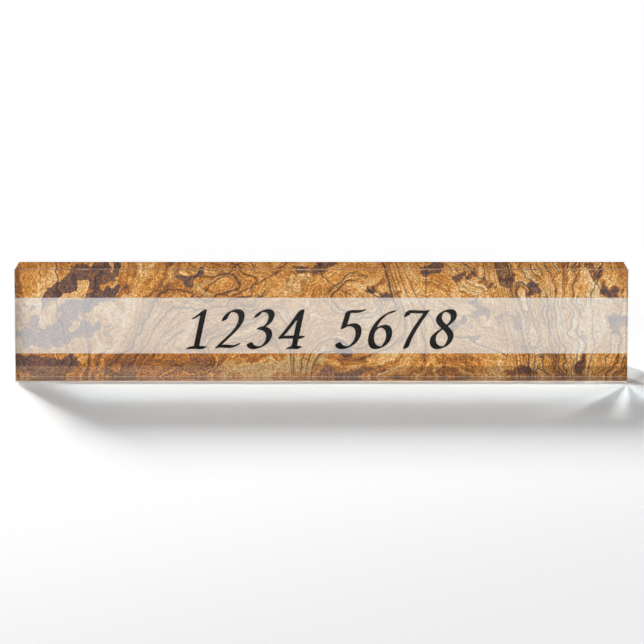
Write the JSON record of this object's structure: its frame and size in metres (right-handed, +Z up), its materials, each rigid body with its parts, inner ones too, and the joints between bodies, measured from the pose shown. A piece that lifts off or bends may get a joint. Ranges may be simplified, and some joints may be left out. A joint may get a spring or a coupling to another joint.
{
  "type": "desk name plate",
  "caption": "Clear acrylic desk block with a stone-pattern print and a pale name strip seen through it from behind, standing on thin clear feet.",
  "frame": {"origin": "centre of the plate's bounding box at the level of the desk, under the feet", "axes": "+X along the plate to the reader's right, -Y towards the reader, +Z up"},
  "size_m": [0.2032, 0.0198, 0.0386],
  "materials": {
    "acrylic": "polished clear cast acrylic",
    "adhesive": "clear bonding film",
    "pale_strip": "translucent white film",
    "stone_print": "film printed with an orange and brown sandstone pattern",
    "backing": "satin white sheet",
    "foot": "clear soft plastic"
  },
  "bodies": {
    "root": {"acrylic_block": "acrylic", "adhesive_film": "adhesive", "name_band": "pale_strip", "stone_print": "stone_print", "backing_sheet": "backing", "foot_front_left": "foot", "foot_front_right": "foot", "foot_rear_left": "foot", "foot_rear_right": "foot"}
  },
  "joints": []
}
